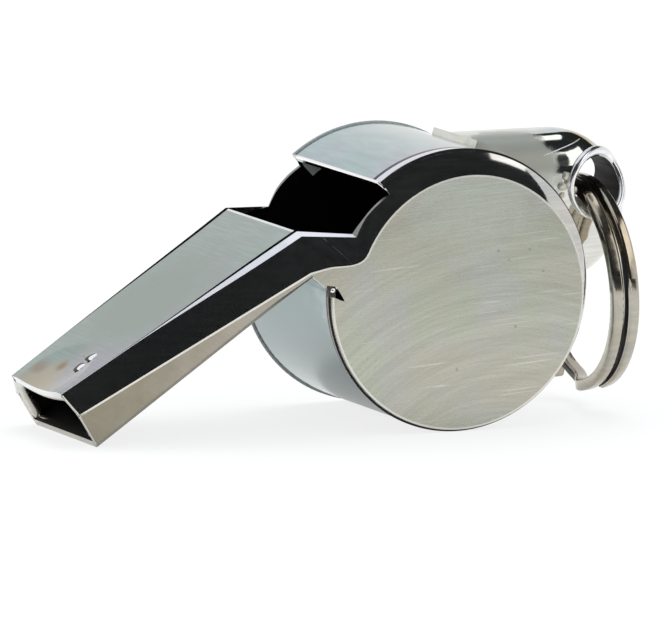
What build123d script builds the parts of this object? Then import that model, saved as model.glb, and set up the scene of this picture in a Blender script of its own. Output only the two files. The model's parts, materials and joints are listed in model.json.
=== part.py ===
"""A sheet-metal pea whistle with a cork pea, a lanyard lug and a split ring.

It lies as it does on a table, on the bottom of its drum and on the lower lip of its mouthpiece.
The whistle's own directions are "along", from mouth to drum, and "rise", square to its flat roof.
"""
import os
from math import asin, atan2, cos, degrees, hypot, radians, sin, sqrt

from build123d import *

os.makedirs("parts", exist_ok=True)

# Driving dimensions, in millimetres and degrees
sheet = 0.6
drum_radius = 12.0
body_width = 18.5
band_step = 0.15

mouth_reach = 33.3
mouth_width = 13.2
mouth_height = 5.3
edge_ease = 0.4
roof_rise = 0.2
bevel_inset_at_mouth = 1.45
bevel_height_at_mouth = 1.9

throat_inset = 1.5
throat_height = 3.4
bevel_height_at_throat = 2.93
gusset_angle = 145
relief_width = 0.65
relief_rise = 0.6
relief_drop = 1.6

window_setback = 1.4
bevel_inset_at_window = 1.8
bevel_height_at_window = 3.45
lip_angle = 95.5
notch_reach = 5.3
notch_bevel = 1.3
lip_foot_reach = 0.8
lip_foot_drop = 1.4

neck_steps = 4

drum_bevel_width = 2.75
drum_bevel_rim = 0.2
drum_bevel_depth = 0.45
drum_bevel_angle = 110
drum_bevel_lean = 0.45
drum_bevel_steps = 4

dish_radius = 20.0
dish_depth = 0.45
dish_from_mouth = 1.6

tongue_width = 8.5
tongue_thickness = 0.6
tongue_angle = 72.5
tongue_turn = 45
hood_width = 7.4
hood_round = 3.5
tail_angle = -6
eye_radius = 6.6
eye_setback = 0.5
hole_radius = 2.4
hole_back_of_eye = 3.1
hole_above_eye = 2.0

ring_radius = 8.75
wire_across = 1.0
wire_thick = 1.0
wire_corner = 0.25
wire_gap = 0.45
ring_offset = 0.55
jog_angle = 30
jog_place = 2
end_setback = 4

pea_radius = 5.5
pea_clearance = 0.15

# Sizes worked out from them
half_width = body_width / 2
inner_half = half_width - sheet
band_radius = drum_radius - band_step
roof_height = drum_radius + roof_rise
mouth_bottom = roof_height - mouth_height
throat_reach = drum_radius - throat_inset
throat_bottom = roof_height - throat_height
floor_slope = (throat_bottom - mouth_bottom) / (mouth_reach - throat_reach)
window_front = throat_reach - window_setback
seam_at_mouth = mouth_width / 2 - bevel_inset_at_mouth
seam_at_window = half_width - bevel_inset_at_window
eye_reach = drum_radius + eye_setback
eye_rise = drum_radius - eye_radius
hole_reach = eye_reach + hole_back_of_eye
hole_rise = eye_rise + hole_above_eye

# The resting tilt: one line touches the drum and the lower edge of the mouth
mouth_distance = hypot(mouth_reach, mouth_bottom)
tilt = degrees(atan2(mouth_bottom, mouth_reach) + asin(drum_radius / mouth_distance))
along = Vector(cos(radians(tilt)), 0, sin(radians(tilt)))
rise = Vector(-sin(radians(tilt)), 0, cos(radians(tilt)))
near = Vector(0, -1, 0)
far = Vector(0, 1, 0)

# The origin lies on the table, under the middle of the whole length
front = (along * -mouth_reach + rise * roof_height).X
lug_back = eye_reach + eye_radius
drum_centre = Vector(-(front + lug_back) / 2, 0, drum_radius)
side = Plane(origin=drum_centre, x_dir=along, z_dir=near)
upright = Plane(origin=drum_centre, x_dir=(1, 0, 0), z_dir=near)


def across(reach):
    """The plane square to the whistle's length, at a distance before the drum's axis."""
    return Plane(origin=drum_centre - along * reach, x_dir=far, z_dir=along)


def deck(height):
    """The plane parallel to the roof, at a height above the drum's axis."""
    return Plane(origin=drum_centre + rise * height, x_dir=along, z_dir=rise)


def on_circle(radius, angle):
    return (radius * cos(radians(angle)), radius * sin(radians(angle)))


def seam_half(reach):
    """Half the roof's width at a distance before the drum's axis."""
    share = (mouth_reach - reach) / (mouth_reach - window_front)
    return seam_at_mouth + share * (seam_at_window - seam_at_mouth)


def flange(flat_half, border, reach):
    """The bevelled flange's section: border and top outside, then the seam's foot and border inside."""
    inset = flat_half - seam_half(reach)
    height = roof_height - border
    drop = sheet * hypot(inset, height) / inset
    inner_border = border + height * sheet / inset - drop
    return [
        (-flat_half, border),
        (-seam_half(reach), roof_height),
        (-seam_half(reach), roof_height - drop),
        (-flat_half + sheet, inner_border),
    ]


def wall(flat_half, border, reach, bottom):
    """The mouthpiece wall's section: the flange with the flat strip below it, eased at its foot."""
    foot = [(-flat_half + edge_ease, bottom), (-flat_half, bottom + edge_ease)]
    return foot + flange(flat_half, border, reach) + [(-flat_half + sheet, bottom)]


def outline(points, mode=Mode.ADD):
    """A face with straight edges, in the current sketch."""
    Polygon(*points, align=None, mode=mode)


def bevel_depth(share):
    """How deep the drum's rounded bevel lies, by the share of its width from the flat's border."""
    bulge = 1 - sqrt(1 - share**2)
    return drum_bevel_depth * (drum_bevel_lean * share + (1 - drum_bevel_lean) * bulge)


# Cheeks: stamped sides with a bevel along their upper edge
mouth_border = roof_height - bevel_height_at_mouth
throat_border = roof_height - bevel_height_at_throat
window_border = roof_height - bevel_height_at_window
border_radius = drum_radius - (drum_bevel_width + drum_bevel_rim) / 2
border_centre = on_circle((drum_bevel_rim - drum_bevel_width) / 2, drum_bevel_angle)
notch_border = border_centre[1] + sqrt(border_radius**2 - (notch_reach + border_centre[0]) ** 2)
notch_height = notch_border + notch_bevel
notch_share = (notch_height - notch_border) / (sqrt(drum_radius**2 - notch_reach**2) - notch_border)
notch_half = half_width - bevel_depth(notch_share)
throat_corner = (-throat_reach, throat_bottom)
gusset = on_circle(drum_radius, gusset_angle)
lip_end = on_circle(drum_radius, lip_angle)
window_section = flange(half_width, window_border, window_front)
notch_section = [
    (-half_width, notch_border),
    (-notch_half, notch_height),
    (-inner_half, notch_height),
    (-inner_half, notch_border),
]


def neck_reach(share):
    """The place of a section of the neck, by its share of the way from the window to the notch."""
    return window_front + share * (notch_reach - window_front)


def neck_dip(share):
    """How far the flat's border swings under the straight line from the window to the notch."""
    return (1 - (1 - share) ** 3 - share) * (window_border - notch_border)


def neck_section(share):
    """The bevel's section on the neck: a blend of its two ends, with the swung border."""
    blend = [
        (start[0] + share * (end[0] - start[0]), start[1] + share * (end[1] - start[1]))
        for start, end in zip(window_section, notch_section)
    ]
    outer_border, top, foot, inner_border = blend
    dip = neck_dip(share)
    return [(outer_border[0], outer_border[1] - dip), top, foot, (inner_border[0], inner_border[1] - dip)]


neck_shares = [step / neck_steps for step in range(neck_steps + 1)]
neck_border = [(-neck_reach(share), neck_section(share)[0][1]) for share in neck_shares]

# two discs with a rounded bevel: one that is widest at the top, and one with an even rim for the front
disc_forms = []
for flat_radius, flat_centre in [(border_radius, border_centre), (drum_radius - drum_bevel_rim, (0, 0))]:
    with BuildPart() as disc_form:
        with BuildSketch(side.offset(inner_half)):
            Circle(drum_radius)
        extrude(amount=sheet - drum_bevel_depth)
        for step in range(drum_bevel_steps + 1):
            share = cos(radians(90 * step / drum_bevel_steps))
            with BuildSketch(side.offset(half_width - bevel_depth(share))):
                with Locations((flat_centre[0] * (1 - share), flat_centre[1] * (1 - share))):
                    Circle(flat_radius + share * (drum_radius - flat_radius))
        loft(ruled=True)
    disc_forms.append(disc_form.part)
drum_disc, rimmed_disc = disc_forms

# the front ends where the bevel is as narrow as the rim
front_end = on_circle(drum_radius, drum_bevel_angle + 180)
with BuildPart() as front_form:
    add(rimmed_disc)
    with BuildSketch(side.offset(inner_half)):
        outline([
            (-notch_reach, gusset[1]),
            (-2 * drum_radius, gusset[1]),
            (-2 * drum_radius, -2 * drum_radius),
            (front_end[0], -2 * drum_radius),
            front_end,
        ])
    extrude(amount=sheet, mode=Mode.INTERSECT)

with BuildPart() as right_cheek:
    add(drum_disc)
    # the window's notch is cut out of the disc's upper edge
    with BuildSketch(side.offset(inner_half)):
        outline([
            (-notch_reach, notch_height),
            (-lip_foot_reach, drum_radius - lip_foot_drop),
            lip_end,
            (lip_end[0], 2 * drum_radius),
            (-2 * drum_radius, 2 * drum_radius),
            (-2 * drum_radius, gusset[1]),
            (-notch_reach, gusset[1]),
        ])
    extrude(amount=sheet, mode=Mode.SUBTRACT)
    # the disc's front and the flat neck between it and the mouthpiece
    add(front_form.part)
    with BuildSketch(side.offset(inner_half)):
        outline([
            throat_corner,
            gusset,
            (-notch_reach, gusset[1]),
            *reversed(neck_border),
            (-throat_reach, throat_border),
        ])
    extrude(amount=sheet)
    # the bevel's twist from the roof's seam down into the notch
    with BuildSketch(across(throat_reach)):
        outline(flange(half_width, throat_border, throat_reach))
    for share in neck_shares:
        with BuildSketch(across(neck_reach(share))):
            outline(neck_section(share))
    loft(ruled=True)
    # the mouthpiece's tapering wall
    with BuildSketch(across(mouth_reach)):
        outline(wall(mouth_width / 2, mouth_border, mouth_reach, mouth_bottom))
    with BuildSketch(across(throat_reach)):
        outline(wall(half_width, throat_border, throat_reach, throat_bottom))
    loft(ruled=True)
    # the open corner left where the neck, the floor and the drum's band meet
    with BuildSketch(side.offset(inner_half)):
        outline([
            (gusset[0] - relief_width, gusset[1]),
            (gusset[0] + relief_width, gusset[1] - relief_drop),
            (gusset[0] + relief_width, gusset[1]),
            (gusset[0], gusset[1] + relief_rise),
        ])
    extrude(amount=sheet, mode=Mode.SUBTRACT)
right_cheek.part.label = "right_cheek"
export_step(right_cheek.part, "parts/right_cheek.step")

with BuildPart() as left_cheek:
    mirror(right_cheek.part, about=Plane.XZ)
left_cheek.part.label = "left_cheek"
export_step(left_cheek.part, "parts/left_cheek.step")

# Roof of the mouthpiece: a tapering plate with a shallow dish for the teeth at its front
dish_centre = deck(roof_height + dish_radius - dish_depth).from_local_coords((dish_from_mouth - mouth_reach, 0, 0))
roof_corners = [
    (-mouth_reach, -seam_at_mouth),
    (-window_front, -seam_at_window),
    (-window_front, seam_at_window),
    (-mouth_reach, seam_at_mouth),
]

with BuildPart() as mouthpiece_roof:
    with Locations(dish_centre):
        Sphere(dish_radius + sheet)
    with BuildSketch(deck(roof_height)):
        outline(roof_corners)
    extrude(amount=-sheet - dish_depth, mode=Mode.INTERSECT)
    with BuildSketch(deck(roof_height)):
        outline(roof_corners)
    extrude(amount=-sheet)
    with Locations(dish_centre):
        Sphere(dish_radius, mode=Mode.SUBTRACT)
mouthpiece_roof.part.label = "mouthpiece_roof"
export_step(mouthpiece_roof.part, "parts/mouthpiece_roof.step")

# Floor of the mouthpiece: a plate between the walls, rising to a narrow throat
floor_back = throat_reach - sheet


def floor_level(reach):
    """The height of the floor's underside at a distance before the drum's axis."""
    return mouth_bottom + (mouth_reach - reach) * floor_slope


with BuildPart() as mouthpiece_floor:
    with BuildSketch(side):
        outline([
            (-mouth_reach, mouth_bottom),
            (-floor_back, floor_level(floor_back)),
            (-floor_back, floor_level(floor_back) + sheet),
            (-mouth_reach, mouth_bottom + sheet),
        ])
    extrude(amount=half_width, both=True)
    with BuildSketch(deck(0)):
        outline([
            (-mouth_reach, sheet - mouth_width / 2),
            (-throat_reach, -inner_half),
            (0, -inner_half),
            (0, inner_half),
            (-throat_reach, inner_half),
            (-mouth_reach, mouth_width / 2 - sheet),
        ])
    extrude(amount=roof_height, mode=Mode.INTERSECT)
    # its upper side edges are eased to lie under the cheeks' flanges
    add([right_cheek.part, left_cheek.part], mode=Mode.SUBTRACT)
mouthpiece_floor.part.label = "mouthpiece_floor"
export_step(mouthpiece_floor.part, "parts/mouthpiece_floor.step")

# Drum band: one strip from the throat, down and round the drum, to the lip
band_inside = band_radius - sheet
band_turn = 360 - gusset_angle + lip_angle

with BuildPart() as drum_band:
    with BuildSketch(side):
        with BuildLine():
            outer_arc = CenterArc((0, 0), band_radius, gusset_angle, band_turn)
            inner_arc = CenterArc((0, 0), band_inside, gusset_angle, band_turn)
            Line(outer_arc @ 1, inner_arc @ 1)
            Polyline(
                outer_arc @ 0,
                throat_corner,
                (-floor_back, floor_level(floor_back)),
                inner_arc @ 0,
            )
        make_face()
    extrude(amount=inner_half, both=True)
drum_band.part.label = "drum_band"
export_step(drum_band.part, "parts/drum_band.step")

# Lanyard lug: a tongue on the drum's top that runs into a round-edged eye behind the drum
tongue_radius = band_radius + tongue_thickness

with BuildPart() as hood_form:
    with BuildSketch(upright):
        with Locations((eye_reach, eye_rise)):
            Circle(eye_radius)
    extrude(amount=hood_width / 2, both=True)
    fillet(hood_form.edges().filter_by(GeomType.CIRCLE), radius=hood_round)
    with BuildSketch(Plane(origin=drum_centre, x_dir=far, z_dir=(1, 0, 0))):
        with Locations((0, eye_rise)):
            RectangleRounded(hood_width, 2 * eye_radius, hood_round)
    extrude(amount=eye_reach)

with BuildPart() as lanyard_lug:
    with BuildSketch(upright):
        with BuildLine():
            seat = CenterArc((0, 0), band_radius, tail_angle, tongue_angle - tail_angle)
            eye = CenterArc((eye_reach, eye_rise), eye_radius, -90, 180)
            Polyline(seat @ 1, on_circle(tongue_radius, tongue_angle), eye @ 1)
            Line(eye @ 0, seat @ 0)
        make_face()
    extrude(amount=hood_width / 2, both=True)
    add(hood_form.part, mode=Mode.INTERSECT)
    with BuildSketch(upright):
        with Locations((hole_reach, hole_rise)):
            Circle(hole_radius)
    extrude(amount=hood_width, both=True, mode=Mode.SUBTRACT)
    with BuildSketch(upright):
        with BuildLine():
            tongue_seat = CenterArc((0, 0), band_radius, tongue_angle - tongue_turn, tongue_turn)
            tongue_top = CenterArc((0, 0), tongue_radius, tongue_angle - tongue_turn, tongue_turn)
            Line(tongue_seat @ 0, tongue_top @ 0)
            Line(tongue_seat @ 1, tongue_top @ 1)
        make_face()
    extrude(amount=tongue_width / 2, both=True)
lanyard_lug.part.label = "lanyard_lug"
export_step(lanyard_lug.part, "parts/lanyard_lug.step")

# Split ring: two flat turns of wire side by side, joined by a jog, hanging from the lug's hole
lean = asin(ring_offset / ring_radius)
ring_axis = Vector(cos(lean), 0, sin(lean))
ring_up = Vector(-sin(lean), 0, cos(lean))
ring_centre = drum_centre + Vector(hole_reach, 0, hole_rise - ring_radius * cos(lean))
wire_pitch = wire_across + wire_gap
turn_start = jog_place + jog_angle / 2
turn_end = jog_place + 360 - jog_angle / 2
arcs_per_turn = 4


def ring_point(angle, shift):
    """A point of the wire's centre line, by its angle from the ring's bottom and its shift sideways."""
    outward = far * sin(radians(angle)) - ring_up * cos(radians(angle))
    return ring_centre + outward * ring_radius + ring_axis * shift


def ring_heading(angle):
    return far * cos(radians(angle)) + ring_up * sin(radians(angle))


def flat_turn(start, end, shift):
    """Arcs of about a quarter turn each, from one angle to another, in the current line."""
    step = (end - start) / arcs_per_turn
    for number in range(arcs_per_turn):
        angle = start + number * step
        ThreePointArc(
            ring_point(angle, shift),
            ring_point(angle + step / 2, shift),
            ring_point(angle + step, shift),
        )


jog_start = ring_point(turn_end, -wire_pitch / 2)
jog_end = ring_point(turn_end + jog_angle, wire_pitch / 2)
jog_span = jog_end - jog_start
headings = ring_heading(turn_end) + ring_heading(turn_end + jog_angle)
turning = 2 * ring_heading(turn_end).dot(ring_heading(turn_end + jog_angle)) - 2
reach_back = jog_span.dot(headings)
handle = (reach_back - sqrt(reach_back**2 - turning * jog_span.dot(jog_span))) / turning
first_handle = jog_start + ring_heading(turn_end) * handle
second_handle = jog_end - ring_heading(turn_end + jog_angle) * handle
jog_middle = (first_handle + second_handle) * 0.5

with BuildPart() as split_ring:
    with BuildLine() as wire_path:
        flat_turn(turn_start + end_setback, turn_end, -wire_pitch / 2)
        TangentArc(jog_start, jog_middle, tangent=ring_heading(turn_end))
        TangentArc(jog_middle, jog_end, tangent=second_handle - first_handle)
        flat_turn(turn_end + jog_angle, turn_end + 360 - end_setback, wire_pitch / 2)
    wire_start = Plane(
        origin=ring_point(turn_start + end_setback, -wire_pitch / 2),
        x_dir=ring_axis,
        z_dir=ring_heading(turn_start + end_setback),
    )
    with BuildSketch(wire_start):
        RectangleRounded(wire_across, wire_thick, wire_corner)
    sweep()
split_ring.part.label = "split_ring"

# The least gap between the two turns, from points along the wire's centre line
gap_points = 360
wire_points = [wire_path.line @ (number / gap_points) for number in range(gap_points + 1)]
least_gap = min(
    (wire_points[first] - wire_points[second]).length - wire_across
    for first in range(gap_points + 1)
    for second in range(first + gap_points // 4, gap_points + 1)
)
print(f"split_ring least gap between turns {least_gap:.3f} mm")
export_step(split_ring.part, "parts/split_ring.step")

# Cork pea: a loose ball at the bottom of the drum
pea_orbit = band_inside - pea_radius - pea_clearance

with BuildPart() as cork_pea:
    with Locations(drum_centre - Vector(0, 0, pea_orbit)):
        Sphere(pea_radius)
cork_pea.part.label = "cork_pea"
export_step(cork_pea.part, "parts/cork_pea.step")
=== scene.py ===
# %% [markdown]
# A sheet-metal pea whistle lies on a white table. It is made of stampings that are soldered together and
# nickel plated, so nearly all of its look is reflection. This lesson builds that look round a finished
# CAD model: first the camera, the table and what the metal reflects, then the finishes, then each piece.

import json
from math import atan2, cos, hypot, pi, radians, sin, sqrt

import bmesh
import bpy
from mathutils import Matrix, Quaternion, Vector, noise
from mathutils.bvhtree import BVHTree


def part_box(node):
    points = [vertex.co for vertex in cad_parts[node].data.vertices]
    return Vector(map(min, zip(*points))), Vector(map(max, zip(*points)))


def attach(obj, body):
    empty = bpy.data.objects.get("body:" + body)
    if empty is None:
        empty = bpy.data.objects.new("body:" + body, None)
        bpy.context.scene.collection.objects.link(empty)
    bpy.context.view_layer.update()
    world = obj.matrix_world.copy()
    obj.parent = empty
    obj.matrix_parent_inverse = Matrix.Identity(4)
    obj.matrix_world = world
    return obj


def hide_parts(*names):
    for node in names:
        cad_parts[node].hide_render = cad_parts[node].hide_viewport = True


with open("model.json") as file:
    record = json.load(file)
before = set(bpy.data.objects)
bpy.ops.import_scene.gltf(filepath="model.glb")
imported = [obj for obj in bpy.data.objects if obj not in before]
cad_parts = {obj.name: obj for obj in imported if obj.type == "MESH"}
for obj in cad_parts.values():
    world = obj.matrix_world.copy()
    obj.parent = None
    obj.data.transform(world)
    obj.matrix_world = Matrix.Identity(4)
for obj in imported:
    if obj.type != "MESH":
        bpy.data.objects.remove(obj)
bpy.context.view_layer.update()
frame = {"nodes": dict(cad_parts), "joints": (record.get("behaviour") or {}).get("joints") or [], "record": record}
scene = bpy.context.scene
scene.view_settings.view_transform = "Standard"
millimetre = 0.001
joints = {joint["name"]: joint for joint in frame["joints"]}
drum_axis = Vector(joints["pea_orbit"]["pos_m"])
hole_axis = Vector(joints["ring_swing"]["pos_m"])

# %% [markdown]
# The whistle leans on its mouthpiece, so its own directions are tilted against the table. "Along" runs
# from the mouth to the drum and "rise" stands square on the flat roof. The tilt could be typed in, but the
# roof's own mesh gives it: the roof's flat top is its largest level of faces.

# %% Find the whistle's own directions
def flat_normal(node):
    """The normal of a node's largest flat side that faces up, summed over its faces."""
    sums = {}
    for face in frame["nodes"][node].data.polygons:
        if face.normal.z > 0.5:
            key = tuple(round(part, 2) for part in face.normal)
            sums[key] = sums.get(key, Vector()) + face.normal * face.area
    return max(sums.values(), key=lambda total: total.length).normalized()


rise = flat_normal("mouthpiece_roof")
along = Vector((rise.z, 0, -rise.x))
across = Vector((0, 1, 0))


def place(way, height, aside):
    """A point by millimetres along the whistle, up from the drum's axis and across to the far side."""
    return drum_axis + (along * way + rise * height + across * aside) * millimetre


print("rise", [round(part, 4) for part in rise], "along", [round(part, 4) for part in along])

# %% [markdown]
# The camera stands far away with a long lens, as for a catalogue picture: parallel edges stay nearly
# parallel. Its place is given by two angles round the object and by a slight roll.

# %% Place the camera
camera_azimuth = radians(-25.0457)
camera_elevation = radians(8.801)
camera_roll = radians(0.848)
camera_distance = 1.18186
camera_aim = Vector((0.001452, 0.002444, 0.008849))

camera = bpy.data.objects.new("camera", bpy.data.cameras.new("camera"))
scene.collection.objects.link(camera)
scene.camera = camera
camera.data.sensor_width = 36
camera.data.lens = 757.88
camera.data.clip_start = 0.05
camera.data.clip_end = 50
towards_camera = Vector((
    sin(camera_azimuth) * cos(camera_elevation),
    -cos(camera_azimuth) * cos(camera_elevation),
    sin(camera_elevation),
))
camera.location = camera_aim + towards_camera * camera_distance
camera.rotation_mode = "QUATERNION"
upright_view = (-towards_camera).to_track_quat("-Z", "Y")
camera.rotation_quaternion = upright_view @ Quaternion((0, 0, 1), camera_roll)
print("camera at", [round(part, 3) for part in camera.location])

# %% [markdown]
# Helpers come first. A material is a small tree of nodes, and writing each node and link by hand is long,
# so these functions add a node with its settings, make a group with named sockets, and mix values.

# %% Helpers for node trees
def add_node(tree, kind, values=None, **settings):
    """A new node with its settings, and with its named or numbered inputs set or linked."""
    node = tree.nodes.new(kind)
    for name, value in settings.items():
        setattr(node, name, value)
    for name, value in (values or {}).items():
        if isinstance(value, bpy.types.NodeSocket):
            tree.links.new(value, node.inputs[name])
        else:
            node.inputs[name].default_value = value
    return node


def new_group(name, inputs, outputs):
    """An empty shader node group with named sockets, and its input and output nodes."""
    tree = bpy.data.node_groups.new(name, "ShaderNodeTree")
    for label, (kind, value) in inputs.items():
        socket = tree.interface.new_socket(label, in_out="INPUT", socket_type=f"NodeSocket{kind}")
        socket.default_value = value
    for label, kind in outputs.items():
        tree.interface.new_socket(label, in_out="OUTPUT", socket_type=f"NodeSocket{kind}")
    return tree, tree.nodes.new("NodeGroupInput"), tree.nodes.new("NodeGroupOutput")


def smooth_step(tree, value, low, high):
    """A soft 0 to 1 mask of a value between two limits."""
    node = add_node(tree, "ShaderNodeMapRange", {0: value, 1: low, 2: high}, interpolation_type="SMOOTHSTEP")
    return node.outputs[0]


def maths(tree, operation, first, second):
    return add_node(tree, "ShaderNodeMath", {0: first, 1: second}, operation=operation).outputs[0]


def mix_colours(tree, share, first, second, blend="MIX"):
    node = add_node(
        tree,
        "ShaderNodeMix",
        {0: share, 6: first, 7: second},
        data_type="RGBA",
        blend_type=blend,
    )
    return node.outputs[2]


def object_place(tree):
    return add_node(tree, "ShaderNodeTexCoord").outputs["Object"]


print("helpers ready")

# %% [markdown]
# The table is plain white, and the picture's background is only that table. Its material mixes a lit
# white with a steady glow of strength 1 for the camera and for reflections. The camera sees more of the
# glow, so the background is white; reflections see less, so the metal's lower sides stay darker.

# %% Make the table
table_reach = 3.0
camera_glow = 0.80
mirror_glow = 0.40
table_colour = (0.93, 0.93, 0.92, 1)


def stage_mesh(name, corners, faces, material):
    """An object of the stage, which is no part of the whistle."""
    mesh = bpy.data.meshes.new(name)
    mesh.from_pydata(corners, [], faces)
    mesh.materials.append(material)
    sheet_object = bpy.data.objects.new(name, mesh)
    scene.collection.objects.link(sheet_object)
    return sheet_object


def white_table():
    material = bpy.data.materials.new("white_table")
    material.use_nodes = True
    tree = material.node_tree
    tree.nodes.clear()
    path = add_node(tree, "ShaderNodeLightPath").outputs
    mirrored = maths(tree, "MAXIMUM", path["Is Glossy Ray"], path["Is Transmission Ray"])
    mirrored = maths(tree, "MULTIPLY", mirrored, mirror_glow)
    seen = maths(tree, "MULTIPLY", path["Is Camera Ray"], camera_glow)
    share = maths(tree, "MAXIMUM", seen, mirrored)
    grain = add_node(tree, "ShaderNodeTexNoise", {"Scale": 60.0, "Detail": 3.0}).outputs[0]
    paper = mix_colours(tree, grain, table_colour, (0.95, 0.95, 0.95, 1))
    lit = add_node(tree, "ShaderNodeBsdfDiffuse", {"Color": paper})
    glow = add_node(tree, "ShaderNodeEmission", {"Color": (1, 1, 1, 1), "Strength": 1.0})
    mixed = add_node(tree, "ShaderNodeMixShader", {0: share, 1: lit.outputs[0], 2: glow.outputs[0]})
    add_node(tree, "ShaderNodeOutputMaterial", {"Surface": mixed.outputs[0]})
    return material


table = stage_mesh(
    "table",
    [(x, y, 0) for x, y in ((-1, -1), (1, -1), (1, 1), (-1, 1))],
    [(0, 1, 2, 3)],
    white_table(),
)
table.scale = (table_reach, table_reach, 1)
print("table", 2 * table_reach, "m wide")

# %% [markdown]
# Bright metal shows its surroundings. In a white tent with the photographer's dark side open, the surfaces
# that face the camera and tip upwards turn nearly black, and the ones that face the back or the right stay
# white. A world of pale grey stands for the tent. Dark curved cards that only reflections see stand for
# its open front, and two small bright ones for the lamps that shine in the lug's round side.

# %% Put up the tent
tent_strength = 0.95


def pale_tent():
    """A world that is a little cooler above and warmer near the table."""
    world = bpy.data.worlds.new("pale_tent")
    scene.world = world
    world.use_nodes = True
    tree = world.node_tree
    tree.nodes.clear()
    direction = add_node(tree, "ShaderNodeTexCoord").outputs["Generated"]
    height = add_node(tree, "ShaderNodeSeparateXYZ", {0: direction}).outputs["Z"]
    share = smooth_step(tree, height, 0.0, 0.9)
    colour = mix_colours(tree, share, (1.0, 0.985, 0.96, 1), (0.86, 0.91, 1.0, 1))
    background = add_node(tree, "ShaderNodeBackground", {"Color": colour, "Strength": tent_strength})
    add_node(tree, "ShaderNodeOutputWorld", {"Surface": background.outputs[0]})


pale_tent()
print("world:", scene.world.name)

# %% [markdown]
# The cards could be flat planes, but a flat card covers a different part of the surroundings from each
# point of the whistle. Pieces of a ball round it are easier to think of: a card goes from one direction
# round the table to another, and from one height above it to another.

# %% Helpers for cards and lamps
card_columns = 16
card_rows = 10
dark_distance = 0.20
bright_distance = 0.19


def direction_at(azimuth, elevation):
    """A direction by degrees from the front, to the right and up."""
    turn, lift = radians(azimuth), radians(elevation)
    return Vector((sin(turn) * cos(lift), -cos(turn) * cos(lift), sin(lift)))


def dark_cloth():
    material = bpy.data.materials.new("dark_cloth")
    material.use_nodes = True
    tree = material.node_tree
    cloth = tree.nodes["Principled BSDF"]
    grain = add_node(tree, "ShaderNodeTexNoise", {"Scale": 9.0}).outputs[0]
    tone = mix_colours(tree, grain, (0.010, 0.011, 0.012, 1), (0.034, 0.037, 0.037, 1))
    tree.links.new(tone, cloth.inputs["Base Color"])
    cloth.inputs["Roughness"].default_value = 1.0
    cloth.inputs["Specular IOR Level"].default_value = 0.0
    return material


def white_lamp():
    material = bpy.data.materials.new("white_lamp")
    material.use_nodes = True
    tree = material.node_tree
    tree.nodes.clear()
    glow = add_node(tree, "ShaderNodeEmission", {"Color": (1, 1, 1, 1), "Strength": 1.6})
    add_node(tree, "ShaderNodeOutputMaterial", {"Surface": glow.outputs[0]})
    return material


def curved_card(name, bottom_edge, top_edge, elevations, radius, material):
    """A card on a ball round the whistle. Its two level edges go from a left to a right azimuth."""
    corners, faces = [], []
    for row in range(card_rows + 1):
        share = row / card_rows
        elevation = elevations[0] + (elevations[1] - elevations[0]) * share
        left, right = (low + (high - low) * share for low, high in zip(bottom_edge, top_edge))
        for column in range(card_columns + 1):
            azimuth = left + (right - left) * column / card_columns
            corners.append(direction_at(azimuth, elevation) * radius)
    for row in range(card_rows):
        for column in range(card_columns):
            first = row * (card_columns + 1) + column
            faces.append((first, first + 1, first + card_columns + 2, first + card_columns + 1))
    card = stage_mesh(name, corners, faces, material)
    card.visible_camera = False
    card.visible_diffuse = False
    card.visible_shadow = False
    return card


def soft_lamp(name, azimuth, elevation, distance, size, power):
    """A square lamp that points at the whistle."""
    lamp = bpy.data.objects.new(name, bpy.data.lights.new(name, "AREA"))
    scene.collection.objects.link(lamp)
    away = direction_at(azimuth, elevation)
    lamp.location = camera_aim + away * distance
    lamp.rotation_mode = "QUATERNION"
    lamp.rotation_quaternion = away.to_track_quat("Z", "Y")
    lamp.data.size = size
    lamp.data.energy = power
    lamp.visible_glossy = False
    return lamp


print("a card has", card_columns, "by", card_rows, "faces")

# %% [markdown]
# The open front takes two dark cards: one near the table, which leaves the right side to the white tent, and
# a wide one above it. The two bright cards hang in front of them. They lean, which gives their reflections
# in the lug's round side their slant. One soft lamp from above and behind lights the table and gives the
# whistle its shadow.

# %% Place the cards and the lamp
cloth = dark_cloth()
lamp_face = white_lamp()
cards = [
    curved_card("dark_front", (-80, 45), (-80, 45), (0, 28), dark_distance, cloth),
    curved_card("dark_above", (-80, 136), (-80, 136), (28, 65), dark_distance, cloth),
    curved_card("lamp_low", (33, 43), (44, 82), (19, 48), bright_distance, lamp_face),
    curved_card("lamp_high", (121, 133), (90, 104), (54, 64.5), bright_distance, lamp_face),
]
overhead = soft_lamp("overhead_lamp", 150, 70, 1.2, 0.8, 6.0)
print("cards:", [card.name for card in cards], "lamp:", overhead.name)

# %% [markdown]
# Finishes. Nickel plate on brass is never one colour: it is a little yellow or pink where the plate is
# thin, greenish where fingers have been, and covered in fine polishing lines. Each of these is a node group
# that several metals share with their own values.

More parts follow.
